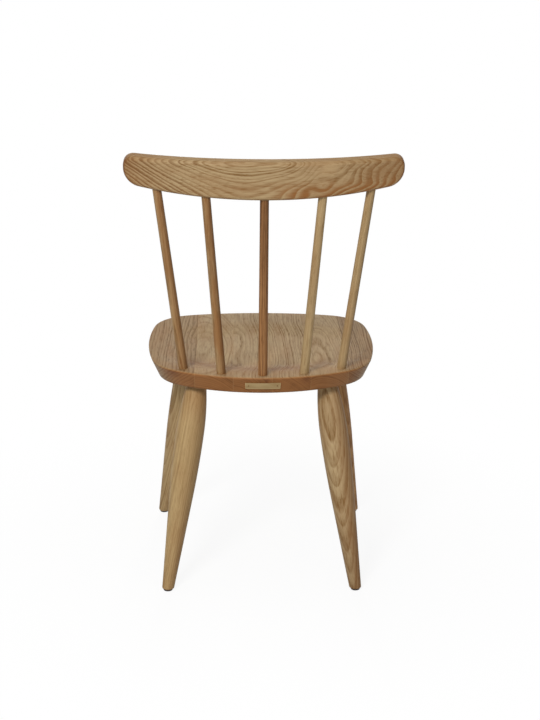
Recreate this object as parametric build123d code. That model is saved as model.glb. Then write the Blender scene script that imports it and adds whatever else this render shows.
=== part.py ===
from build123d import *
import math
import os

# Child's spindle-back chair in solid ash, in millimetres, standing on the floor at Z = 0.
# The sitter faces -Y and +X is the sitter's left. The model is drawn with the back edge of
# the seat at Y = 0, and is centred over the origin when it is written out.

# Seat blank, seen from above
seat_height = 300.0
seat_thickness = 24.0
seat_depth = 307.0
seat_back_radius = 217.0
seat_rear_half_width = 139.0
seat_front_half_width = 143.0
seat_side_bow = 14.0
seat_front_bow = 32.0
seat_rear_corner_round = 76.0
seat_front_corner_round = 70.0

# Seat edges: the rim leans in towards the underside and the front edge rolls down
rim_undercut = 11.0
rim_top_round = 2.2
rim_bottom_round = 2.0
front_roll_length = 34.0
front_roll_drop = 1.8

# Dish of the seat, a shallow pan with a softly rounded border and floor
dish_back_margin = 28.0
dish_corner_margin = 21.0
dish_rear_side_margin = 14.0
dish_front_side_margin = 22.0
dish_front_land = 24.0
dish_rear_floor_corner = 18.0
dish_front_floor_corner = 20.0
dish_wall_width = 40.0
dish_depth = 6.0
dish_border_round = 110.0
dish_floor_round = 110.0

# Boards of the seat, glued edge to edge with the grain running front to back
board_width = 50.0
middle_joint_x = -12.0

# Crest rail, bent in plan and raked backwards
crest_half_length = 172.0
crest_height = 49.0
crest_thickness = 18.0
crest_bend_radius = 375.0
crest_bottom_rise = 6.8
crest_top_fall = 6.3
crest_top_corner_round = 14.0
crest_end_flat = 1.0
crest_edge_round = 5.0
crest_rise = 238.0
crest_setback = 28.0
crest_rake = 10.0

# Spindles, spread along an arc on the seat and fanned out towards the crest rail
spindle_foot_diameter = 12.0
spindle_top_diameter = 11.0
spindle_edge_distance = 14.0
spindle_foot_spacing = 54.0
spindle_inner_top = 71.0
crest_overhang = 41.0
spindle_seat_depth = 13.0
spindle_crest_depth = 22.0

# Legs, turned with a bulge below the seat and splayed both ways
leg_foot_diameter = 15.5
leg_straight_length = 129.0
leg_bulge_diameter = 37.0
leg_bulge_drop = 68.0
leg_neck_diameter = 24.0
leg_foot_round = 1.5
leg_tenon_diameter = 20.0
leg_tenon_cover = 6.0
tenon_chamfer = 1.0
back_leg_side_inset = 53.7
back_leg_edge_inset = 58.0
back_leg_side_splay = 40.4
back_leg_rear_splay = 53.0
front_leg_side_inset = 47.5
front_leg_edge_inset = 88.0
front_leg_side_splay = 46.5
front_leg_front_splay = 48.0

# Nailed glides under the feet
glide_diameter = 12.0
glide_thickness = 2.5
glide_edge_round = 0.6
nail_diameter = 1.6
nail_depth = 14.0
nail_head_diameter = 4.6
nail_head_thickness = 0.8
nail_head_recess = 1.3

# Bare brass plate, bent to the back rim of the seat and held by two pins
plate_length = 45.0
plate_width = 10.0
plate_thickness = 1.0
pin_end_distance = 3.5
pin_diameter = 1.4
pin_depth = 8.0
pin_head_diameter = 2.8
pin_head_height = 0.7

# Clearances
glue_gap = 0.05
socket_end_gap = 0.5
pin_gap = 0.05
plate_bed_gap = 0.1

# Places that follow from the sizes above
underside_height = seat_height - seat_thickness
rim_lean = math.atan2(rim_undercut, seat_thickness)
rim_middle_radius = seat_back_radius - rim_undercut / 2
leg_tenon_depth = seat_thickness - dish_depth - leg_tenon_cover
pin_places = (plate_length / 2 - pin_end_distance, pin_end_distance - plate_length / 2)
crest_frame = Location((0, crest_setback, seat_height + crest_rise), (-crest_rake, 0, 0))
UPWARDS = (Align.CENTER, Align.CENTER, Align.MIN)


def arc_drop(radius, half_chord):
    """Height of a circular arc over a chord of the given half length."""
    return radius - math.sqrt(radius ** 2 - half_chord ** 2)


def arc_radius(drop, half_chord):
    """Radius of the circular arc that has the given height over its chord."""
    return (half_chord ** 2 + drop ** 2) / (2 * drop)


def pan_outline(back_y, rear_corner, front_corner, front_y, rear_round, front_round):
    """Plan outline of four bowed sides with rounded corners, for the seat and for its dish."""
    rear_left, front_left = Vector(rear_corner), Vector(front_corner)
    rear_right, front_right = Vector(-rear_left.X, rear_left.Y), Vector(-front_left.X, front_left.Y)
    sides = [
        ThreePointArc(rear_right, (0, back_y), rear_left),
        SagittaArc(rear_left, front_left, seat_side_bow),
        ThreePointArc(front_left, (0, front_y), front_right),
        SagittaArc(front_right, rear_right, seat_side_bow),
    ]
    outline = make_face(Curve() + sides)
    outline = fillet(outline.vertices().sort_by(Axis.Y)[-2:], rear_round)
    return fillet(outline.vertices().sort_by(Axis.Y)[:2], front_round)


def rolled_slab():
    """Slab that gives the seat its top: flat, and rolling down towards the front edge."""
    low = underside_height - seat_thickness
    front = seat_depth + seat_thickness
    roll_start = Vector(front_roll_length - seat_depth, seat_height)
    roll_radius = arc_radius(front_roll_drop, front_roll_length)
    roll_end = Vector(-front, seat_height - arc_drop(roll_radius, front_roll_length + seat_thickness))
    roll = TangentArc(roll_start, roll_end, tangent=(-1, 0))
    rest = Polyline(roll_end, (-front, low), (seat_thickness, low), (seat_thickness, seat_height), roll_start)
    side_view = make_face(Curve() + [roll, rest])
    return extrude(Plane.YZ * side_view, seat_depth, both=True)


def seat_blank():
    """Seat with its leaning rim, rolled front edge and rounded arrises."""
    outline = pan_outline(
        0, (seat_rear_half_width, -arc_drop(seat_back_radius, seat_rear_half_width)),
        (seat_front_half_width, seat_front_bow - seat_depth), -seat_depth,
        seat_rear_corner_round, seat_front_corner_round,
    )
    lower = Pos(0, 0, underside_height) * offset(outline, -rim_undercut)
    upper = Pos(0, 0, seat_height + seat_thickness) * offset(outline, rim_undercut)
    blank = loft([lower, upper], ruled=True) & rolled_slab()
    middle = underside_height + seat_thickness / 2
    curves = blank.edges().filter_by(GeomType.LINE, reverse=True)
    blank = fillet([edge for edge in curves if edge.center().Z > middle], rim_top_round)
    return fillet(blank.faces().sort_by(Axis.Z)[0].edges(), rim_bottom_round)


def seat_dish():
    """Shape that is hollowed out of the seat: a sloping wall round a flat floor."""
    rear_half = seat_rear_half_width - dish_rear_side_margin
    front_half = seat_front_half_width - dish_front_side_margin
    front_y = front_roll_length + dish_front_land - seat_depth
    border = pan_outline(
        -dish_back_margin, (rear_half, -arc_drop(seat_back_radius, rear_half) - dish_corner_margin),
        (front_half, front_y + seat_front_bow), front_y,
        dish_rear_floor_corner + dish_wall_width, dish_front_floor_corner + dish_wall_width,
    )
    mouth = Pos(0, 0, seat_height + dish_depth) * offset(border, dish_wall_width)
    floor = Pos(0, 0, seat_height - dish_depth) * offset(border, -dish_wall_width)
    pan = loft([floor, mouth], ruled=True)
    return fillet(pan.faces().sort_by(Axis.Z)[0].edges(), dish_floor_round)


def dished_seat():
    """Whole seat with its hollow, whose border is rounded over."""
    seat = seat_blank() - seat_dish()
    flat_top = seat.faces().filter_by(Plane.XY).sort_by(Axis.Z)[-1]
    return fillet(flat_top.inner_wires()[0].edges(), dish_border_round)


def seat_boards(seat):
    """The seat cut along its glue lines, from the sitter's left to the right."""
    joints = [middle_joint_x + step * board_width for step in (2, 1, 0, -1, -2)]
    edges = [seat_depth] + joints + [-seat_depth]
    boards = []
    for left, right in zip(edges, edges[1:]):
        strip = Box(left - right, 2 * seat_depth, seat_height)
        boards.append(seat & Pos((left + right) / 2, -seat_depth / 2, seat_height) * strip)
    return boards


def turned(start, end, outline):
    """Piece turned from an outline in radius and height, with its axis running from start to end."""
    return Plane(origin=start, z_dir=end - start) * revolve(Plane.XZ * make_face(outline), Axis.Z)


def socket(outside, mouth, diameter, depth):
    """Blind socket for a round tenon, drilled from outside through its mouth in the surface."""
    direction = (mouth - outside).normalized()
    drill = Cylinder(diameter / 2 + glue_gap, diameter + depth + socket_end_gap, align=UPWARDS)
    return Plane(origin=mouth - direction * diameter, z_dir=direction) * drill


def crest_rail():
    """Bent rail that narrows a little towards its rounded ends, drawn upright in its own frame."""
    low, high = crest_bottom_rise, crest_height - crest_top_fall
    bottom_corner_round = high - low - crest_end_flat - crest_top_corner_round
    sides = [
        ThreePointArc((-crest_half_length, low), (0, 0), (crest_half_length, low)),
        Line((crest_half_length, low), (crest_half_length, high)),
        ThreePointArc((crest_half_length, high), (0, crest_height), (-crest_half_length, high)),
        Line((-crest_half_length, high), (-crest_half_length, low)),
    ]
    elevation = make_face(Curve() + sides)
    elevation = fillet(elevation.vertices().sort_by(Axis.Y)[:2], bottom_corner_round)
    elevation = fillet(elevation.vertices().sort_by(Axis.Y)[-2:], crest_top_corner_round)
    board = extrude(Plane.XZ * elevation, crest_bend_radius, both=True)
    ring_height = 2 * crest_half_length
    outer = Cylinder(crest_bend_radius + crest_thickness / 2, ring_height)
    inner = Cylinder(crest_bend_radius - crest_thickness / 2, ring_height)
    ring = Pos(0, -crest_bend_radius, 0) * (outer - inner)
    rail = (board & ring).solids().sort_by(Axis.Y)[-1]
    broad_faces = rail.faces().sort_by(SortBy.AREA)[-2:]
    arrises = broad_faces[0].edges() + broad_faces[1].edges()
    return fillet(arrises, crest_edge_round)


def crest_underside(x):
    """Point in the middle of the rail's bottom edge, at the given distance from its centre."""
    bottom_radius = arc_radius(crest_bottom_rise, crest_half_length)
    place = crest_frame * Pos(x, -arc_drop(crest_bend_radius, x), arc_drop(bottom_radius, x))
    return place.position


def spindle_foot(step):
    """Point where a spindle meets the top of the seat, a number of steps from the centre."""
    radius = seat_back_radius - spindle_edge_distance
    angle = step * spindle_foot_spacing / radius
    return Vector(radius * math.sin(angle), radius * math.cos(angle) - seat_back_radius, seat_height)


def spindle(foot, top):
    """Tapered rod with a round tenon at each end."""
    direction = (top - foot).normalized()
    start = foot - direction * spindle_seat_depth
    end = top + direction * spindle_crest_depth
    length = (end - start).length
    foot_radius, top_radius = spindle_foot_diameter / 2, spindle_top_diameter / 2
    outline = Polyline(
        (0, 0), (foot_radius - tenon_chamfer, 0), (foot_radius, tenon_chamfer),
        (foot_radius, spindle_seat_depth), (top_radius, length - spindle_crest_depth),
        (top_radius, length - tenon_chamfer), (top_radius - tenon_chamfer, length), (0, length), close=True,
    )
    return turned(start, end, outline)


def foot_centre(foot, top):
    """Point on the axis of a leg at the level where it stands on its glide."""
    return foot + (top - foot) * (glide_thickness / underside_height)


def leg(foot, top):
    """Turned leg: a straight taper from the foot, a long swell to the bulge, and an arc in to the neck."""
    length = (top - foot).length
    foot_radius, bulge_radius = leg_foot_diameter / 2, leg_bulge_diameter / 2
    bulge_z = length - leg_bulge_drop
    neck_arc_radius = arc_radius(bulge_radius - leg_neck_diameter / 2, leg_bulge_drop)
    past_neck = leg_bulge_drop + leg_neck_diameter / 2
    neck_end = Vector(bulge_radius - arc_drop(neck_arc_radius, past_neck), bulge_z + past_neck)
    taper = 2 * (bulge_radius - foot_radius) / (bulge_z + leg_straight_length)
    swell_start = Vector(foot_radius + taper * leg_straight_length, leg_straight_length)
    swell = TangentArc((bulge_radius, bulge_z), swell_start, tangent=(0, -1))
    neck = TangentArc((bulge_radius, bulge_z), neck_end, tangent=(0, 1))
    stub = Vector(foot_radius - taper * leg_foot_diameter, -leg_foot_diameter)
    core = Polyline(neck_end, (0, neck_end.Y), (0, stub.Y), stub, swell_start)
    shaft = turned(foot, top, Curve() + [swell, neck, core])
    shaft = split(shaft, bisect_by=Plane.XY.offset(underside_height), keep=Keep.BOTTOM)
    shaft = split(shaft, bisect_by=Plane.XY.offset(glide_thickness), keep=Keep.TOP)
    shaft = fillet(shaft.edges().sort_by(Axis.Z)[0], leg_foot_round)
    tenon_length = leg_neck_diameter + leg_tenon_depth
    tenon = Cylinder(leg_tenon_diameter / 2, tenon_length, align=UPWARDS)
    tenon = chamfer(tenon.edges().sort_by(Axis.Z)[-1], tenon_chamfer)
    direction = (top - foot).normalized()
    tenon = Plane(origin=top - direction * leg_neck_diameter, z_dir=direction) * tenon
    hole = Cylinder(nail_diameter / 2 + pin_gap, nail_depth + socket_end_gap, align=UPWARDS)
    return shaft + tenon - Location(foot_centre(foot, top)) * hole


def glide(centre):
    """Disc under a foot, with a recess that keeps the nail head off the floor."""
    disc = Cylinder(glide_diameter / 2, glide_thickness, align=UPWARDS)
    disc = fillet(disc.edges().sort_by(Axis.Z)[0], glide_edge_round)
    disc -= Cylinder(nail_head_diameter / 2 + pin_gap, nail_head_recess, align=UPWARDS)
    disc -= Cylinder(nail_diameter / 2 + pin_gap, glide_thickness, align=UPWARDS)
    return Pos(centre.X, centre.Y, 0) * disc


def glide_nail(centre):
    """Nail that is driven up through a glide into the foot."""
    head_radius, radius = nail_head_diameter / 2, nail_diameter / 2
    head_bottom = nail_head_recess - nail_head_thickness
    tip = glide_thickness + nail_depth
    outline = Polyline(
        (0, head_bottom), (head_radius, head_bottom), (head_radius, nail_head_recess),
        (radius, nail_head_recess), (radius, tip - nail_diameter), (0, tip), close=True,
    )
    return Pos(centre.X, centre.Y, 0) * revolve(Plane.XZ * make_face(outline), Axis.Z)


def rim_plane(distance):
    """Plane on the middle of the back rim, facing out of the wood, at a distance from the centre line."""
    angle = distance / rim_middle_radius
    across, along = math.sin(angle), math.cos(angle)
    middle = underside_height + seat_thickness / 2
    origin = (rim_middle_radius * across, rim_middle_radius * along - seat_back_radius, middle)
    outwards = (across * math.cos(rim_lean), along * math.cos(rim_lean), -math.sin(rim_lean))
    return Plane(origin=origin, x_dir=(along, -across, 0), z_dir=outwards)


def pin_hole(distance):
    """Hole for a plate pin, through the plate and into the rim."""
    hole = Cylinder(pin_diameter / 2 + pin_gap, 2 * (pin_depth + socket_end_gap))
    return rim_plane(distance) * hole


def plate_pin(distance):
    """Domed pin whose head lies on the plate."""
    plate_face = plate_bed_gap + plate_thickness
    head_radius, radius = pin_head_diameter / 2, pin_diameter / 2
    crown = plate_face + pin_head_height
    dome = TangentArc((0, crown), (head_radius, plate_face), tangent=(1, 0))
    body = Polyline(
        (head_radius, plate_face), (radius, plate_face), (radius, pin_diameter - pin_depth),
        (0, -pin_depth), (0, crown),
    )
    return rim_plane(distance) * revolve(Plane.XZ * make_face(Curve() + [dome, body]), Axis.Z)


def blank_plate():
    """Thin strip bent round the back rim, with a hole near each end."""
    start = rim_plane(plate_length / 2)
    section_plane = Plane(origin=start.origin, x_dir=start.z_dir, z_dir=start.x_dir)
    section = Pos(plate_bed_gap + plate_thickness / 2, 0) * Rectangle(plate_thickness, plate_width)
    sweep_angle = math.degrees(plate_length / rim_middle_radius)
    strip = revolve(section_plane * section, Axis((0, -seat_back_radius, 0), (0, 0, 1)), sweep_angle)
    for distance in pin_places:
        strip -= pin_hole(distance)
    return strip


SIDES = (("left", 1), ("right", -1))

spindle_lines = {"spindle_centre": (spindle_foot(0), crest_underside(0))}
leg_lines = {}
for side, sign in SIDES:
    outer_top = crest_half_length - crest_overhang
    spindle_lines[f"spindle_inner_{side}"] = (spindle_foot(sign), crest_underside(sign * spindle_inner_top))
    spindle_lines[f"spindle_outer_{side}"] = (spindle_foot(2 * sign), crest_underside(sign * outer_top))
    back_x = sign * (seat_rear_half_width - back_leg_side_inset)
    back_top = Vector(back_x, -back_leg_edge_inset, underside_height)
    back_splay = Vector(sign * back_leg_side_splay, back_leg_rear_splay, -underside_height)
    leg_lines[f"back_{side}"] = (back_top + back_splay, back_top)
    front_x = sign * (seat_front_half_width - front_leg_side_inset)
    front_top = Vector(front_x, front_leg_edge_inset - seat_depth, underside_height)
    front_splay = Vector(sign * front_leg_side_splay, -front_leg_front_splay, -underside_height)
    leg_lines[f"front_{side}"] = (front_top + front_splay, front_top)

seat = dished_seat()
crest = crest_frame * crest_rail()
nodes = {}
for name, (foot, top) in spindle_lines.items():
    nodes[name] = spindle(foot, top)
    seat -= socket(top, foot, spindle_foot_diameter, spindle_seat_depth)
    crest -= socket(foot, top, spindle_top_diameter, spindle_crest_depth)

nails = []
for place, (foot, top) in leg_lines.items():
    nodes[f"leg_{place}"] = leg(foot, top)
    nodes[f"glide_{place}"] = glide(foot_centre(foot, top))
    nails.append(glide_nail(foot_centre(foot, top)))
    seat -= socket(foot, top, leg_tenon_diameter, leg_tenon_depth)
nodes["glide_nails"] = Compound(nails)

for distance in pin_places:
    seat -= pin_hole(distance)
nodes["plate_pins"] = Compound([plate_pin(distance) for distance in pin_places])
nodes["blank_plate"] = blank_plate()
nodes["crest_rail"] = crest
for number, board in enumerate(seat_boards(seat), start=1):
    nodes[f"seat_board_{number}"] = board

box = Compound([solid for shape in nodes.values() for solid in shape.solids()]).bounding_box()
centring = Pos(0, -(box.min.Y + box.max.Y) / 2, 0)
os.makedirs("parts", exist_ok=True)
for name, shape in nodes.items():
    export_step(centring * shape, f"parts/{name}.step")
print("size", box.size, "shift", centring.position.Y)
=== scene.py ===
import math
from dataclasses import dataclass
import bpy
from mathutils import Matrix, Vector


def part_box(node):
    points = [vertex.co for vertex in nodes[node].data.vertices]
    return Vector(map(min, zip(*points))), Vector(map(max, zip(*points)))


# Child's spindle-back chair in oiled ash, seen from behind, on a white studio floor.
# Places are in the chair's own frame: +X to the sitter's left, +Y to the back, +Z up.
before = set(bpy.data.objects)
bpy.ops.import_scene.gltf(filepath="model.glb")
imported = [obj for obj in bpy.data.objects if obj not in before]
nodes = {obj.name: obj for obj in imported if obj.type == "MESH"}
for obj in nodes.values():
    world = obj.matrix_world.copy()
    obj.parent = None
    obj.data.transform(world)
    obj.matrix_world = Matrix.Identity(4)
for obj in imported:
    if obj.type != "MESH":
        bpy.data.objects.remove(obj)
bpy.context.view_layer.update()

MM = 0.001
LEFT = Vector((1, 0, 0))
BACK = Vector((0, 1, 0))
UP = Vector((0, 0, 1))


def tint(red, green, blue):
    """Colour written in the usual 0 to 255 steps, as the linear values that a shader takes."""
    steps = [part / 255 for part in (red, green, blue)]
    linear = [((part + 0.055) / 1.055) ** 2.4 if part > 0.04045 else part / 12.92 for part in steps]
    return (*linear, 1.0)


# Ash colours: the pale late wood and the dark early wood of each stock
STRAW = (tint(182, 155, 113), tint(140, 112, 72))
HONEY = (tint(183, 157, 117), tint(130, 97, 57))
OLIVE = (tint(186, 157, 111), tint(120, 88, 48))
BISCUIT = (tint(176, 151, 114), tint(124, 94, 58))
TOAST = (tint(158, 132, 97), tint(108, 81, 52))
AMBER = (tint(190, 145, 94), tint(122, 80, 43))
GOLD = (tint(174, 142, 100), tint(112, 80, 46))
TOBACCO = (tint(174, 126, 80), tint(104, 68, 38))
END_GRAIN = (tint(150, 100, 56), tint(116, 73, 37))

# Colours of the marks in and on the ash. The oil, stain, heartwood and top colours also serve as painted
# shade, and the worn colour also serves as a painted highlight
OILED_AND_SHADE = tint(138, 92, 48)
TOP_SHADE = tint(126, 98, 62)
PORE = tint(84, 56, 30)
WORN_AND_HIGHLIGHT = tint(196, 164, 120)
GLUE = tint(184, 150, 104)
STAIN_AND_SHADE = tint(100, 67, 35)
WARM_HEART_AND_SHADE = tint(144, 95, 50)
DARK_HEART_AND_SHADE = tint(96, 62, 34)
RUST = tint(96, 50, 28)

# Colours of the fittings: a bright and a dull one of each metal, a dark and a pale one of the plastic
PLATE_BRASS = (tint(166, 143, 104), tint(144, 120, 82))
PIN_BRASS = (tint(140, 110, 72), tint(76, 54, 32))
RUBBED_BRASS = tint(204, 180, 134)
STEEL = (tint(168, 166, 162), tint(112, 98, 84))
PLASTIC = (tint(34, 28, 24), tint(50, 42, 36))
SCUFFED_PLASTIC = tint(96, 86, 76)


class Wire:
    """One socket of a finish, on which plain sums add Math nodes."""

    def __init__(self, paint, socket):
        self.paint = paint
        self.socket = socket

    def __add__(self, other):
        return self.paint.maths("ADD", self, other)

    def __radd__(self, other):
        return self.paint.maths("ADD", other, self)

    def __sub__(self, other):
        return self.paint.maths("SUBTRACT", self, other)

    def __rsub__(self, other):
        return self.paint.maths("SUBTRACT", other, self)

    def __mul__(self, other):
        return self.paint.maths("MULTIPLY", self, other)

    def __rmul__(self, other):
        return self.paint.maths("MULTIPLY", other, self)

    def __truediv__(self, other):
        return self.paint.maths("DIVIDE", self, other)

    def __pow__(self, other):
        return self.paint.maths("POWER", self, other)

    def __abs__(self):
        return self.paint.maths("ABSOLUTE", self)

    def squared(self):
        return self * self


class Paint:
    """Node tree of a finish or of the studio's light, while it is being drawn."""

    def __init__(self, owner):
        owner.use_nodes = True
        self.owner = owner
        self.tree = owner.node_tree
        self.tree.nodes.clear()

    def node(self, kind, settings=None, sockets=None, out=0):
        """Adds a node, with its settings set first, and gives one of its outputs."""
        node = self.tree.nodes.new(kind)
        for key, value in (settings or {}).items():
            setattr(node, key, value)
        for key, value in (sockets or {}).items():
            if isinstance(value, Wire):
                self.tree.links.new(value.socket, node.inputs[key])
            else:
                node.inputs[key].default_value = value
        return Wire(self, node.outputs[out]) if len(node.outputs) else None

    def maths(self, operation, *values):
        """Sum of one Math node."""
        return self.node("ShaderNodeMath", {"operation": operation}, dict(enumerate(values)))

    def step(self, value, start, end):
        """Smooth rise from 0 to 1 as the value goes from start up or down to end."""
        sockets = {"Value": value, "From Min": start, "From Max": end}
        return self.node("ShaderNodeMapRange", {"interpolation_type": "SMOOTHSTEP"}, sockets)

    def bell(self, square):
        """Bell curve of a squared distance."""
        return self.maths("EXPONENT", square * -1)

    def blend(self, share, first, second):
        """Colour that goes from the first to the second, by the Mix node's colour sockets 6, 7 and 2."""
        return self.node("ShaderNodeMix", {"data_type": "RGBA"}, {0: share, 6: first, 7: second}, out=2)

    def dot(self, vector, direction):
        """Length of a vector along a direction."""
        settings = {"operation": "DOT_PRODUCT"}
        return self.node("ShaderNodeVectorMath", settings, {0: vector, 1: tuple(direction)}, out="Value")

    def spot(self, origin=(0, 0, 0)):
        """Place on the chair in millimetres, counted from an origin."""
        place = self.node("ShaderNodeTexCoord", out="Object")
        sockets = {0: place, 1: (1 / MM,) * 3, 2: tuple(-part for part in origin)}
        return self.node("ShaderNodeVectorMath", {"operation": "MULTIPLY_ADD"}, sockets)

    def clouds(self, place, size, seed=0.0, detail=2.0):
        """Cloudy value about 0.5, whose clouds are so many millimetres long each way."""
        sockets = {0: place, 1: tuple(1 / part for part in size), 2: (seed,) * 3}
        place = self.node("ShaderNodeVectorMath", {"operation": "MULTIPLY_ADD"}, sockets)
        return self.node("ShaderNodeTexNoise", None, {"Vector": place, "Scale": 1.0, "Detail": detail})

    def finish(self, base, roughness, height, depth_mm, **fixed):
        """Closes a material with its surface shader, which is embossed by a height."""
        sockets = {"Height": height, "Distance": depth_mm * MM}
        normal = self.node("ShaderNodeBump", None, sockets)
        sockets = {"Base Color": base, "Roughness": roughness, "Normal": normal}
        sockets.update({key.replace("_", " "): value for key, value in fixed.items()})
        surface = self.node("ShaderNodeBsdfPrincipled", None, sockets)
        self.node("ShaderNodeOutputMaterial", None, {"Surface": surface})
        return self.owner


@dataclass
class Blot:
    """Mark with a soft edge: its middle and its half widths in millimetres, and its strength."""

    middle: tuple
    half: tuple
    strength: float

    def share(self, paint, *place):
        """The mark's strength at a place, fading out all round its middle."""
        away = [(part - middle) / half for part, middle, half in zip(place, self.middle, self.half)]
        return paint.bell(sum(part.squared() for part in away)) * self.strength


@dataclass
class Grain:
    """How a piece was cut from the log: lengths in millimetres, directions in the chair's frame."""

    heart: Vector
    along: Vector
    bark: Vector
    stock: tuple
    ring: float
    contrast: float
    curve: float = 60.0
    bow: float = 9000.0
    wander: float = 0.5
    seed: float = 0.0
    fleck: float = 0.4

    def ways(self):
        """Directions along the fibres, across them and out towards the bark."""
        along = self.along.normalized()
        bark = (self.bark - along * along.dot(self.bark)).normalized()
        return along, along.cross(bark), bark


# Clouds in the ash: lengths in millimetres along the fibres, across them and towards the bark
DRIFT = (120, 40, 40)
RIPPLE = (28, 9, 9)
GROWTH = (45, 14, 14)
DRY_SPELLS = (30, 7, 7)
FIBRES = (45, 0.9, 0.9)
PORES = (5, 0.35, 0.35)
FLECKS = (18, 2.2, 2.2)
PATCHES = (90, 22, 22)

# Unevenness of the growth rings in years, changes of their pace in a year, and dry spells in a year
DRIFT_YEARS = 4
RIPPLE_YEARS = 0.6
PACE_YEARS = 1.3
PACE_CHANGES = 0.55
SPELLS_A_YEAR = 3

# Shares that dry spells, fibres, patches and pores have in the colour of the ash
SPELL_SHARE = 0.3
FIBRE_SHARE = 0.22
PATCH_SHARE = 0.3
PORE_SHARE = 0.3
END_PORE_SHARE = 0.2

# Surface of the oiled ash
OIL_ROUGHNESS = 0.52
OIL_GLOSS = 0.16
PORE_DEPTH_MM = 0.08


def log_rings(grain, along, across, depth):
    """Growth rings of a straight log, as a count of years on its barrel-shaped shells."""
    return (depth + across.squared() / (2 * grain.curve) + along.squared() / (2 * grain.bow)) / grain.ring


def uneven_years(paint, place, years, grain):
    """Years that drift, ripple and come at a changing pace."""
    drift = paint.clouds(place, DRIFT, grain.seed, detail=1.0) - 0.5
    ripple = paint.clouds(place, RIPPLE, grain.seed, detail=1.0) - 0.5
    years = years + (drift * DRIFT_YEARS + ripple * RIPPLE_YEARS) * grain.wander
    sockets = {"W": years * PACE_CHANGES + grain.seed, "Scale": 1.0}
    pace = paint.node("ShaderNodeTexNoise", {"noise_dimensions": "1D"}, sockets)
    return years + pace * PACE_YEARS


def early_wood(paint, place, years, seed):
    """Dark early wood: it starts sharply each year, fades out, and is stronger in some years."""
    season = paint.maths("FRACT", years)
    year = paint.maths("FLOOR", years)
    vigour = paint.node("ShaderNodeTexWhiteNoise", {"noise_dimensions": "1D"}, {"W": year + seed})
    early = paint.step(season, 0.0, 0.2) * paint.step(season, 0.8, 0.22)
    return early * (0.4 + vigour * 0.6) * (0.5 + paint.clouds(place, GROWTH, seed + 7))


def dry_spells(paint, place, years, seed):
    """Faint lines within a year, here and there."""
    spell = paint.maths("FRACT", years * SPELLS_A_YEAR)
    line = paint.step(spell, 0.0, 0.3) * paint.step(spell, 1.0, 0.35)
    return line * paint.step(paint.clouds(place, DRY_SPELLS, seed + 5), 0.4, 0.7)


def ash(name, grain, marks, rings=log_rings):
    """Oiled ash, with growth rings, pores and fibres that run through the whole piece, and its marks."""
    paint = Paint(bpy.data.materials.new(f"ash_{name}"))
    from_heart = paint.spot(grain.heart)
    along, across, depth = (paint.dot(from_heart, way) for way in grain.ways())
    place = paint.node("ShaderNodeCombineXYZ", None, {0: along, 1: across, 2: depth})
    seed = grain.seed

    years = uneven_years(paint, place, rings(grain, along, across, depth), grain)
    early = early_wood(paint, place, years, seed)
    fibre = paint.clouds(place, FIBRES, seed, detail=3.0)
    pore = paint.step(paint.clouds(place, PORES, seed, detail=1.0), 0.56, 0.7) * (0.25 + early * 0.75)
    fleck = paint.step(paint.clouds(place, FLECKS, seed + 11), 0.5, 0.7)
    patch = paint.step(paint.clouds(place, PATCHES, seed + 3), 0.42, 0.72)
    facing = paint.node("ShaderNodeTexCoord", out="Normal")
    end = paint.step(abs(paint.dot(facing, grain.ways()[0])), 0.3, 0.9)

    figure = (early + dry_spells(paint, place, years, seed) * SPELL_SHARE) * grain.contrast
    figure = figure + paint.step(fibre, 0.42, 0.7) * FIBRE_SHARE + fleck * grain.fleck
    sides = paint.blend(figure, *grain.stock)
    sides = paint.blend(patch * PATCH_SHARE, sides, OILED_AND_SHADE)
    ends = paint.blend(early * 0.6 + patch * 0.4, *END_GRAIN)
    base = paint.blend(end, sides, ends)
    base = paint.blend(pore * (PORE_SHARE + end * END_PORE_SHARE), base, PORE)
    for share, colour in marks(paint, paint.spot(), facing, early):
        base = paint.blend(share, base, colour)

    ridge = fibre - 0.5
    roughness = OIL_ROUGHNESS + early * 0.08 + ridge * 0.15
    height = 0.5 - pore * 0.5 - early * 0.25 + ridge * 0.3
    return paint.finish(base, roughness, height, PORE_DEPTH_MM, Specular_IOR_Level=OIL_GLOSS)


def dress(name, material):
    """Gives a solid its finish."""
    piece = nodes[name]
    if not piece.material_slots:
        piece.data.materials.append(material)
    for slot in piece.material_slots:
        slot.material = material


def centre_of(name):
    """Middle of a solid's box, in millimetres."""
    low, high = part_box(name)
    return (low + high) / 2 / MM


def turned_about(turn):
    """Level direction, so many degrees from the back towards the left."""
    return BACK * math.cos(math.radians(turn)) + LEFT * math.sin(math.radians(turn))


def side_of(place):
    """1 for a piece on the left, -1 for one on the right and 0 for one in the middle."""
    return {"left": 1, "right": -1}.get(place.split("_")[-1], 0)


# Crest rail, in millimetres and degrees: its middle, its rake, its half thickness and its bend
RAIL_MIDDLE = Vector((0, 162.5, 562.5))
RAIL_RAKE = math.radians(10)
RAIL_BACK = BACK * math.cos(RAIL_RAKE) - UP * math.sin(RAIL_RAKE)
RAIL_UP = UP * math.cos(RAIL_RAKE) + BACK * math.sin(RAIL_RAKE)
RAIL_HALF_THICKNESS = 9
RAIL_BEND_RADIUS = 375

# Figure of the rail, in millimetres to the right of its middle and up from it: where its bowls lie,
# and where its fold, its sweep to the right end and its stirred grain set in and are full
BOWL_RIGHT = -26
BOWL_HALF_WIDTH = 50
BOWL_REACH = 80
FOLD_RIGHT = (-10, 22)
SWEEP_RIGHT = (10, 95)
STIR_RIGHT = (0, 60)
STIR = (62, 20, 20)
KNUCKLE = Blot((66, 10), (15.56, 16.97), 1.5)
KNOT = Blot((71, -8), (11.4, 7.75), 1.4)

# Millimetres that hold one ring: in a plain cut, where the figure lies level, where it is steep, and inwards
FIGURE_RING = 2.4
LEVEL_RING = 6.5
STEEP_RING = 21
BEHIND_RING = 5

# Hook of the steep part: the height at which it shifts the rings by so many
HOOK_HEIGHT = 45
HOOK_RINGS = 1.2

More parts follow.
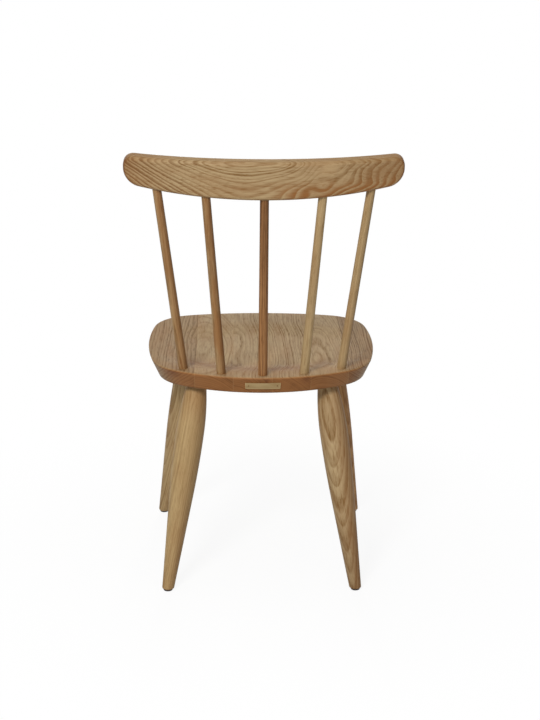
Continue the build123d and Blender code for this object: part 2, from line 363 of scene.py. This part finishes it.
# Square millimetres of height that crowd in one more ring, and shifts by the bowls and the stirred grain
BOWL_CROWDING = 480
FOLD_CROWDING = 450
BOWL_RINGS = 4
SWEPT_BOWL_SHARE = 0.25
STIR_RINGS = 1.8

# Marks on the rail, in millimetres to the left of its middle or up from it, from faint to full
END_SHADE = (95, 172)
LOW_OIL = (4, -18)
SOAKED_LEFT = (0, -28)
HEART_LEFT = (10, -70)
DARK_RINGS_LEFT = (60, 120)
HEART_CLOUDS = (24, 30, 18)
BARE_PATCH = Blot((-76, 13), (12.65, 7.75), 0.45)


def rail_rings(grain, along, across, depth):
    """Growth rings of the crest rail: nested bowls left of the middle, sweeping up to the right end."""
    paint = along.paint
    right, height = along * -1, across
    behind = depth + right.squared() / (2 * RAIL_BEND_RADIUS)
    from_bowl = right - BOWL_RIGHT
    bowl = (paint.maths("SQRT", 1 + (from_bowl / BOWL_HALF_WIDTH).squared()) - 1) * BOWL_RINGS
    near_bowl = paint.bell((from_bowl / BOWL_REACH).squared())
    crowding = near_bowl / BOWL_CROWDING + paint.step(right, *FOLD_RIGHT) / FOLD_CROWDING
    level = height / LEVEL_RING + crowding * height.squared()
    steep = height / STEEP_RING + (height / HOOK_HEIGHT) ** 3 * HOOK_RINGS
    sweep = paint.step(right, *SWEEP_RIGHT)
    place = paint.node("ShaderNodeCombineXYZ", None, {0: along, 1: across, 2: depth})
    stir = (paint.clouds(place, STIR, seed=9.0, detail=0.0) - 0.5) * STIR_RINGS
    figure = level + (steep - level) * sweep + behind / BEHIND_RING
    figure = figure - bowl * (1 - sweep * SWEPT_BOWL_SHARE)
    figure = figure - KNUCKLE.share(paint, right, height) + KNOT.share(paint, right, height)
    figure = figure + stir * paint.step(right, *STIR_RIGHT)
    return figure * (FIGURE_RING / grain.ring)


def rail_marks(paint, spot, facing, early):
    """Painted shade at the ends, where the rail curves away from the light, and on its underside, darker
    early wood at the ends and low down, heartwood on the right, dark rings on the left, end faces and top
    darkened as painted shade, and a bare patch."""
    left = paint.dot(spot, LEFT)
    height = paint.dot(spot, RAIL_UP) - RAIL_MIDDLE.dot(RAIL_UP)
    facing_up = paint.dot(facing, RAIL_UP)
    near_end = paint.step(abs(left), *END_SHADE)
    low = paint.step(height, *LOW_OIL)
    underneath = paint.step(facing_up, -0.3, -0.9)
    # Painted shade: the rail darkens towards its ends, where it curves away from the light, and on faces
    # turned downwards. The early wood also darkens at the ends and low down
    yield near_end * 0.26 + early * (near_end + low) * 0.4 + underneath * 0.3, OILED_AND_SHADE
    broad = paint.step(paint.clouds(spot, HEART_CLOUDS, seed=5.0), 0.42, 0.62)
    soaked = low * paint.step(left, *SOAKED_LEFT)
    yield (early ** 0.45 * 0.8 + broad * 0.25) * soaked + paint.step(left, *HEART_LEFT) * 0.14, WARM_HEART_AND_SHADE
    yield early * paint.step(left, *DARK_RINGS_LEFT) * 0.5, DARK_HEART_AND_SHADE
    # Painted shade: the end faces, turned sideways away from the light, darken
    yield paint.step(abs(paint.dot(facing, LEFT)), 0.4, 0.95) * 0.5, DARK_HEART_AND_SHADE
    yield BARE_PATCH.share(paint, left, height), WORN_AND_HIGHLIGHT
    # Painted shade: faces turned up along the rail's top darken
    yield paint.step(facing_up, 0.15, 0.8) * 0.35, TOP_SHADE


def dress_crest_rail():
    """The rail lies along its grain, with the bark side to the back."""
    heart = RAIL_MIDDLE + RAIL_BACK * RAIL_HALF_THICKNESS
    grain = Grain(heart, LEFT, RAIL_BACK, HONEY, ring=1.9, contrast=0.72)
    dress("crest_rail", ash("crest_rail", grain, rail_marks, rail_rings))


@dataclass
class Board:
    """Stock of one seat board, heart of its figure, lean of its bark side to the right, and its rings."""

    stock: tuple
    left: float
    back: float
    lean: float
    ring: float
    curve: float
    bow: float
    contrast: float


# Seat boards, counted from the left
BOARDS = (
    Board(TOAST, left=100, back=-45, lean=-45, ring=3.6, curve=200, bow=20000, contrast=0.6),
    Board(BISCUIT, left=78, back=-11, lean=0, ring=4.0, curve=40, bow=700, contrast=0.35),
    Board(BISCUIT, left=38, back=-33, lean=3, ring=3.4, curve=33, bow=4300, contrast=0.52),
    Board(BISCUIT, left=-10, back=60, lean=35, ring=2.6, curve=300, bow=20000, contrast=0.7),
    Board(BISCUIT, left=-78, back=69, lean=4, ring=4.0, curve=25, bow=1500, contrast=0.4),
    Board(TOAST, left=-130, back=-20, lean=45, ring=2.3, curve=600, bow=20000, contrast=0.85),
)

# Step between the seeds of the boards' clouds
BOARD_SEED_STEP = 3.1

# Seat, in millimetres: its glue lines from the left, the height of its figure and its rounded back edge
FIRST_JOINT = 88
BOARD_WIDTH = 50
BOARD_JOINTS = [FIRST_JOINT - BOARD_WIDTH * number for number in range(len(BOARDS) - 1)]
FIGURE_HEIGHT = 297
BACK_EDGE = 130
BACK_EDGE_RADIUS = 217

# Marks on the seat, in millimetres from a glue line, from the back edge or up, from faint to full
GLUE_LINE = (0.45, 0.1)
BACK_LAND = (-50, -18)
RIM_HIGH = (284, 297)
RIM_LOW_SHADE = (280, 276.5)

# Soiled line behind the sitter, partly dirt and partly painted shade on the dish's back slope, in
# millimetres: its bent course, how wide it and its blur are, and where it gets stronger and fades out to the
# sides
SOIL_AND_SHADE_BACK = 86
SOIL_AND_SHADE_RADIUS = 120
SOIL_AND_SHADE_HALF_WIDTH = 4
BLUR_HALF_WIDTH = 20.5
STRONGER_LEFT = (-90, -40)
SOIL_AND_SHADE_ENDS = (125, 80)
SMUDGES = (18, 30, 30)

# Dark streaks along the seat's grain, by their places to the left of the frame's middle and to the back
STREAKS = (
    Blot((91, 60), (1.8, 8), 0.8),
    Blot((40, 51), (1.4, 14), 0.7),
    Blot((34, 68), (2.2, 7), 0.7),
    Blot((28, 60), (1.2, 9), 0.5),
    Blot((-34, 73), (2.2, 6), 0.7),
    Blot((-13, 85), (1.5, 8), 0.5),
    Blot((-92, 64), (2.4, 7), 0.7),
    Blot((93, -115), (1.2, 16), 0.5),
)

# Rust-brown stains high on the seat's rim, by their places to the left of the frame's middle
RIM_STAINS = (
    Blot((-5,), (3,), 0.6),
    Blot((-56,), (6,), 0.5),
    Blot((118,), (10,), 0.5),
    Blot((20,), (9,), 0.25),
)


def seat_marks(paint, spot, facing, early):
    """Glue lines, streaks, oil at the back, rim stains, the soiled line with painted shade on the dish's
    back slope, a painted highlight on the rounded edges and painted shade along the rim's low edge.
    """
    left, back, height = (paint.dot(spot, way) for way in (LEFT, BACK, UP))
    facing_up = paint.dot(facing, UP)
    on_top = paint.step(facing_up, 0.9, 0.97)
    on_rim = paint.step(facing_up, 0.4, 0.0)
    for joint in BOARD_JOINTS:
        yield paint.step(abs(left - joint), *GLUE_LINE) * 0.3, GLUE
    for streak in STREAKS:
        yield streak.share(paint, left, back) * on_top, STAIN_AND_SHADE
    from_edge = back - BACK_EDGE + left.squared() / (2 * BACK_EDGE_RADIUS)
    yield paint.step(from_edge, *BACK_LAND) * on_top * 0.2, OILED_AND_SHADE
    high = paint.step(height, *RIM_HIGH)
    for stain in RIM_STAINS:
        yield stain.share(paint, left) * on_rim * high, RUST
    from_line = back - SOIL_AND_SHADE_BACK + left.squared() / (2 * SOIL_AND_SHADE_RADIUS)
    along_line = (0.4 + paint.step(left, *STRONGER_LEFT) * 0.6) * paint.step(abs(left), *SOIL_AND_SHADE_ENDS)
    smudge = paint.step(paint.clouds(spot, SMUDGES, seed=6.0), 0.45, 0.7)
    line = paint.bell((from_line / SOIL_AND_SHADE_HALF_WIDTH).squared()) * smudge * along_line
    blur = paint.bell((from_line / BLUR_HALF_WIDTH).squared()) * along_line
    # Partly dirt and partly painted shade: the band darkens where the dish's back slope turns away from the
    # light
    yield blur * on_top * 0.5, OILED_AND_SHADE
    yield (line + blur) * on_top * 0.35, STAIN_AND_SHADE
    # Painted highlight: a pale line along the seat's rounded top edges, where they catch the light
    arris = paint.step(facing_up, 0.1, 0.5) * paint.step(facing_up, 0.98, 0.9)
    yield arris * 0.12, WORN_AND_HIGHLIGHT
    # Painted shade: the rim darkens towards its lower edge, which turns away from the light
    yield paint.step(height, *RIM_LOW_SHADE) * on_rim * 0.3, STAIN_AND_SHADE


def dress_seat():
    """Boards with the grain running front to back."""
    for number, board in enumerate(BOARDS, start=1):
        name = f"seat_board_{number}"
        heart = Vector((board.left, board.back, FIGURE_HEIGHT))
        lean = math.radians(board.lean)
        bark = UP * math.cos(lean) - LEFT * math.sin(lean)
        grain = Grain(
            heart, BACK, bark, board.stock, board.ring, board.contrast, board.curve, board.bow,
            wander=0.55, seed=number * BOARD_SEED_STEP,
        )
        dress(name, ash(name, grain, seat_marks))


# Spindles, in millimetres: their diameter, their patches, and the heights from which their tops darken
SPINDLE_DIAMETER = 12
SPINDLE_PATCHES = (16, 16, 60)
SPINDLE_TOP = (350, 500)


@dataclass
class Spindle:
    """Stock of one spindle, turn of its bark side, and the shares of its darker wood and painted shade."""

    stock: tuple
    turn: float
    contrast: float
    patches: float = 0.0
    face: float = 0.0
    top: float = 0.0
    flank: float = 0.0

    def marks(self, paint, spot, facing, early):
        """Warm patches, a back face warmed partly as heartwood and partly as painted shade away from the lit
        left flank, a browner top, and a right flank browned as painted shade.
        """
        to_left = paint.dot(facing, LEFT)
        patch = paint.step(paint.clouds(spot, SPINDLE_PATCHES, self.turn), 0.4, 0.66)
        yield patch * self.patches, WARM_HEART_AND_SHADE
        # Partly painted shade: everything but the lit left flank is warmed
        yield paint.step(to_left, 0.65, 0.1) * self.face, WARM_HEART_AND_SHADE
        yield paint.step(paint.dot(spot, UP), *SPINDLE_TOP) * self.top, DARK_HEART_AND_SHADE
        # Painted shade: the right flank, turned away from the light, browns
        yield paint.step(to_left, 0.0, -0.9) * self.flank, DARK_HEART_AND_SHADE


SPINDLES = {
    "outer_left": Spindle(GOLD, turn=40, contrast=0.45, patches=0.35, face=0.35, flank=0.35),
    "inner_left": Spindle(GOLD, turn=10, contrast=0.45, patches=0.6, face=0.3, top=0.12, flank=0.5),
    "centre": Spindle(TOBACCO, turn=70, contrast=1.0, patches=0.15, top=0.5, flank=0.3),
    "inner_right": Spindle(STRAW, turn=30, contrast=0.3),
    "outer_right": Spindle(STRAW, turn=80, contrast=0.4, patches=0.05, flank=0.35),
}


def dress_spindles():
    """Spindles with the grain running up them, each along the slant of its own box."""
    for place, spindle in SPINDLES.items():
        name = f"spindle_{place}"
        low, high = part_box(name)
        reach = (high - low) / MM - Vector((SPINDLE_DIAMETER, SPINDLE_DIAMETER, 0))
        along = Vector((side_of(place) * reach.x, reach.y, reach.z))
        bark = turned_about(spindle.turn)
        grain = Grain(
            centre_of(name), along, bark, spindle.stock, ring=2.2, contrast=spindle.contrast,
            curve=40, bow=6000, seed=spindle.turn,
        )
        dress(name, ash(name, grain, spindle.marks))


# Legs, in millimetres: their rise, how far they lean inwards over it sideways and front to back, and
# the heights over which their tops get warm and darker under the seat as painted shade, and their feet get
# darker as painted shade
LEG_RISE = 276
LEG_SIDE_SPLAY = 43
LEG_END_SPLAY = 50
LEG_SHADED_TOP = (222, 262)
LEG_SHADED_FOOT = (140, 30)


@dataclass
class Leg:
    """Stock of one leg, the way it was cut, and the shares of its darker wood and painted shade."""

    stock: tuple
    turn: float
    seed: float
    ring: float = 2.0
    slope: float = 0.02
    contrast: float = 0.8
    fleck: float = 0.4
    warm_shaded_side: float = 0.0
    flank: float = 0.0
    top: float = 0.0
    foot: float = 0.0

    def marks(self, paint, spot, facing, early):
        """A right side warmed partly as painted shade, a right flank browned as painted shade, a top warmed
        and darkened as painted shade under the seat, and a foot darkened as painted shade.
        """
        to_left = paint.dot(facing, LEFT)
        height = paint.dot(spot, UP)
        # Partly painted shade: the right side, away from the light, is warmed
        yield paint.step(to_left, 0.3, -0.5) * self.warm_shaded_side, WARM_HEART_AND_SHADE
        # Painted shade: the right flank, turned away from the light, browns
        yield paint.step(to_left, 0.1, -0.8) * self.flank, DARK_HEART_AND_SHADE
        # Painted shade under the seat, warm in tone: the leg's top darkens
        yield paint.step(height, *LEG_SHADED_TOP) * self.top, WARM_HEART_AND_SHADE
        # Painted shade: the leg darkens towards its foot, where less light reaches
        yield paint.step(height, *LEG_SHADED_FOOT) * self.foot, DARK_HEART_AND_SHADE


LEGS = {
    "back_left": Leg(
        OLIVE, turn=78, seed=78, ring=2.6, contrast=0.3, fleck=0.16, warm_shaded_side=0.12, flank=0.22, top=0.3,
    ),
    "back_right": Leg(
        HONEY, turn=20, seed=6, ring=3.6, slope=0.084, contrast=0.72, warm_shaded_side=0.32, flank=0.16, foot=0.3,
    ),
    "front_left": Leg(STRAW, turn=60, seed=60),
    "front_right": Leg(AMBER, turn=-50, seed=-50, contrast=0.6),
}


def dress_legs():
    """Legs with the grain running up them, a little across their splayed axis."""
    for place, leg in LEGS.items():
        name = f"leg_{place}"
        lean_left = -side_of(place) * LEG_SIDE_SPLAY
        lean_back = LEG_END_SPLAY if place.startswith("front") else -LEG_END_SPLAY
        axis = Vector((lean_left, lean_back, LEG_RISE)).normalized()
        bark = turned_about(leg.turn)
        along = axis - bark * leg.slope
        grain = Grain(
            centre_of(name), along, bark, leg.stock, leg.ring, leg.contrast,
            wander=0.3, seed=leg.seed, fleck=leg.fleck,
        )
        dress(name, ash(name, grain, leg.marks))


# Clouds in the fittings, as lengths in millimetres, and the width of the plate's rubbed edge
MOTTLE = (1.5, 1.5, 1.5)
SCUFFS = (4, 0.3, 0.5)
DRAWN_LINES = (3, 0.12, 0.12)
TARNISH = (1.6, 1.6, 1.6)
BRUSHED_LINES = (14, 0.25, 0.18)
DULLED = (24, 9, 9)
RUBBED_EDGE = (1.3, 0.3)


def moulded_plastic():
    """Dark, slightly scuffed plastic of the glides."""
    paint = Paint(bpy.data.materials.new("moulded_plastic"))
    spot = paint.spot()
    mottle = paint.clouds(spot, MOTTLE, detail=3.0)
    scuff = paint.step(paint.clouds(spot, SCUFFS, seed=2.0), 0.58, 0.72)
    base = paint.blend(mottle, *PLASTIC)
    base = paint.blend(scuff * 0.4, base, SCUFFED_PLASTIC)
    roughness = 0.5 + mottle * 0.15 + scuff * 0.15
    return paint.finish(base, roughness, mottle - scuff * 0.3, depth_mm=0.03)


def nail_steel():
    """Drawn steel of the nails, a little tarnished."""
    paint = Paint(bpy.data.materials.new("nail_steel"))
    spot = paint.spot()
    drawn = paint.clouds(spot, DRAWN_LINES, detail=3.0)
    tarnish = paint.step(paint.clouds(spot, TARNISH, seed=4.0), 0.5, 0.75)
    base = paint.blend(tarnish * 0.6, *STEEL)
    roughness = 0.3 + drawn * 0.12 + tarnish * 0.2
    return paint.finish(base, roughness, drawn, depth_mm=0.02, Metallic=1.0)


def brushed_brass(name, node, stock):
    """Satin brass, brushed lengthways, dulled in places and rubbed bright along its edges."""
    paint = Paint(bpy.data.materials.new(name))
    spot = paint.spot()
    low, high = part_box(node)
    half = (high - low) / 2 / MM
    from_middle = paint.spot(centre_of(node))
    from_end = half.x - abs(paint.dot(from_middle, LEFT))
    from_side = half.z - abs(paint.dot(from_middle, UP))
    rubbed = paint.step(paint.maths("MINIMUM", from_end, from_side), *RUBBED_EDGE)
    brushed = paint.clouds(spot, BRUSHED_LINES, detail=3.0)
    dulled = paint.step(paint.clouds(spot, DULLED, seed=1.0, detail=1.0), 0.3, 0.7)
    base = paint.blend(dulled * 0.6 + (brushed - 0.5) * 0.6, *stock)
    base = paint.blend(rubbed * 0.5, base, RUBBED_BRASS)
    roughness = 0.36 + dulled * 0.14 + (brushed - 0.5) * 0.2
    return paint.finish(base, roughness, brushed, depth_mm=0.02, Metallic=1.0)


def dress_fittings():
    """Glides and their nails under the feet, and the bare plate with its pins."""
    plastic = moulded_plastic()
    for place in LEGS:
        dress(f"glide_{place}", plastic)
    dress("glide_nails", nail_steel())
    dress("blank_plate", brushed_brass("brass_plate", "blank_plate", PLATE_BRASS))
    dress("plate_pins", brushed_brass("brass_pins", "plate_pins", PIN_BRASS))


# Floor, in metres: its half width, its drop below the feet, and how far from the chair's middle the
# shadow starts to show and shows most
FLOOR_HALF_WIDTH = 4.0
FLOOR_DROP = 0.3 * MM
SHADOW_REACH = (0.6, 0.15)

# White backdrop: the share of the shaded floor near the chair, the floor's greys for the light that it
# sends back and for what is seen of its shadow, and the strength of the light from all round
SHADOW_SHARE = 0.1
FLOOR_BOUNCE = (0.6, 0.6, 0.6, 1)
FLOOR_SHADED = (0.97, 0.97, 0.97, 1)
WHITE = (1, 1, 1, 1)
AMBIENT_LIGHT = 0.23


def seen_directly(paint):
    """1 for what the camera, a gloss or a glass sees of the backdrop, and 0 for its light."""
    camera = paint.node("ShaderNodeLightPath", out="Is Camera Ray")
    glossy = paint.node("ShaderNodeLightPath", out="Is Glossy Ray")
    through = paint.node("ShaderNodeLightPath", out="Is Transmission Ray")
    return paint.maths("MAXIMUM", paint.maths("MAXIMUM", camera, glossy), through)


def white_floor():
    """Floor that looks white, and still takes the chair's shadow near its feet."""
    around = ((-1, -1), (1, -1), (1, 1), (-1, 1))
    corners = [(x * FLOOR_HALF_WIDTH, y * FLOOR_HALF_WIDTH, -FLOOR_DROP) for x, y in around]
    mesh = bpy.data.meshes.new("floor")
    mesh.from_pydata(corners, [], [(0, 1, 2, 3)])
    floor = bpy.data.objects.new("floor", mesh)
    bpy.context.scene.collection.objects.link(floor)
    paint = Paint(bpy.data.materials.new("white_floor"))
    lit = paint.node("ShaderNodeBsdfDiffuse", None, {"Color": FLOOR_BOUNCE})
    shaded = paint.node("ShaderNodeBsdfDiffuse", None, {"Color": FLOOR_SHADED})
    white = paint.node("ShaderNodeEmission", None, {"Color": WHITE, "Strength": 1.0})
    place = paint.node("ShaderNodeTexCoord", out="Object")
    away = paint.node("ShaderNodeVectorMath", {"operation": "LENGTH"}, {0: place}, out="Value")
    shadow = paint.step(away, *SHADOW_REACH) * SHADOW_SHARE
    backdrop = paint.node("ShaderNodeMixShader", None, {0: shadow, 1: white, 2: shaded})
    surface = paint.node("ShaderNodeMixShader", None, {0: seen_directly(paint), 1: lit, 2: backdrop})
    paint.node("ShaderNodeOutputMaterial", None, {"Surface": surface})
    mesh.materials.append(paint.owner)


@dataclass
class SoftBox:
    """Square soft light: its place and width in metres, its watts, and if the oiled wood reflects it."""

    place: tuple
    width: float
    watts: float
    reflected: bool = True


SOFT_BOXES = {
    "key": SoftBox((0.75, 2.0, 2.0), width=0.7, watts=48),
    "fill": SoftBox((-1.2, 2.0, 0.9), width=0.9, watts=5),
    "top": SoftBox((0.2, 0.0, 2.3), width=1.0, watts=7),
    "front": SoftBox((0.0, -2.3, 0.8), width=0.8, watts=25, reflected=False),
}
LIT_PLACE = Vector((0, 0, 0.3))


def hang(name, box):
    """Hangs a soft box where it faces the chair."""
    lamp = bpy.data.lights.new(name, "AREA")
    lamp.size = box.width
    lamp.energy = box.watts
    light = bpy.data.objects.new(name, lamp)
    light.location = box.place
    light.visible_glossy = box.reflected
    light.rotation_euler = (LIT_PLACE - Vector(box.place)).to_track_quat("-Z", "Y").to_euler()
    bpy.context.scene.collection.objects.link(light)


def studio():
    """Even light from all round behind a white backdrop, and the soft boxes."""
    world = bpy.data.worlds.new("studio")
    bpy.context.scene.world = world
    paint = Paint(world)
    strength = AMBIENT_LIGHT + seen_directly(paint) * (1 - AMBIENT_LIGHT)
    sky = paint.node("ShaderNodeBackground", None, {"Color": WHITE, "Strength": strength})
    paint.node("ShaderNodeOutputWorld", None, {"Surface": sky})
    for name, box in SOFT_BOXES.items():
        hang(name, box)


# Camera, in metres and degrees: behind the chair, a little to its left and looking down
CAMERA_PLACE = (0.0380, 1.9429, 0.9119)
CAMERA_LENS_MM = 75.05
CAMERA_YAW = 178.524
CAMERA_DOWN = 17.954
CAMERA_ROLL = 0.397


def photo_camera():
    """Camera at the photo's angle."""
    view = bpy.data.cameras.new("photo_camera")
    view.lens = CAMERA_LENS_MM
    camera = bpy.data.objects.new("photo_camera", view)
    yaw, down, roll = (math.radians(angle) for angle in (CAMERA_YAW, CAMERA_DOWN, CAMERA_ROLL))
    turn = Matrix.Rotation(yaw, 4, "Z") @ Matrix.Rotation(math.pi / 2 - down, 4, "X")
    camera.matrix_world = Matrix.Translation(CAMERA_PLACE) @ turn @ Matrix.Rotation(roll, 4, "Z")
    bpy.context.scene.collection.objects.link(camera)
    bpy.context.scene.camera = camera


dress_crest_rail()
dress_seat()
dress_spindles()
dress_legs()
dress_fittings()
white_floor()
studio()
photo_camera()
bpy.context.scene.view_settings.view_transform = "Standard"
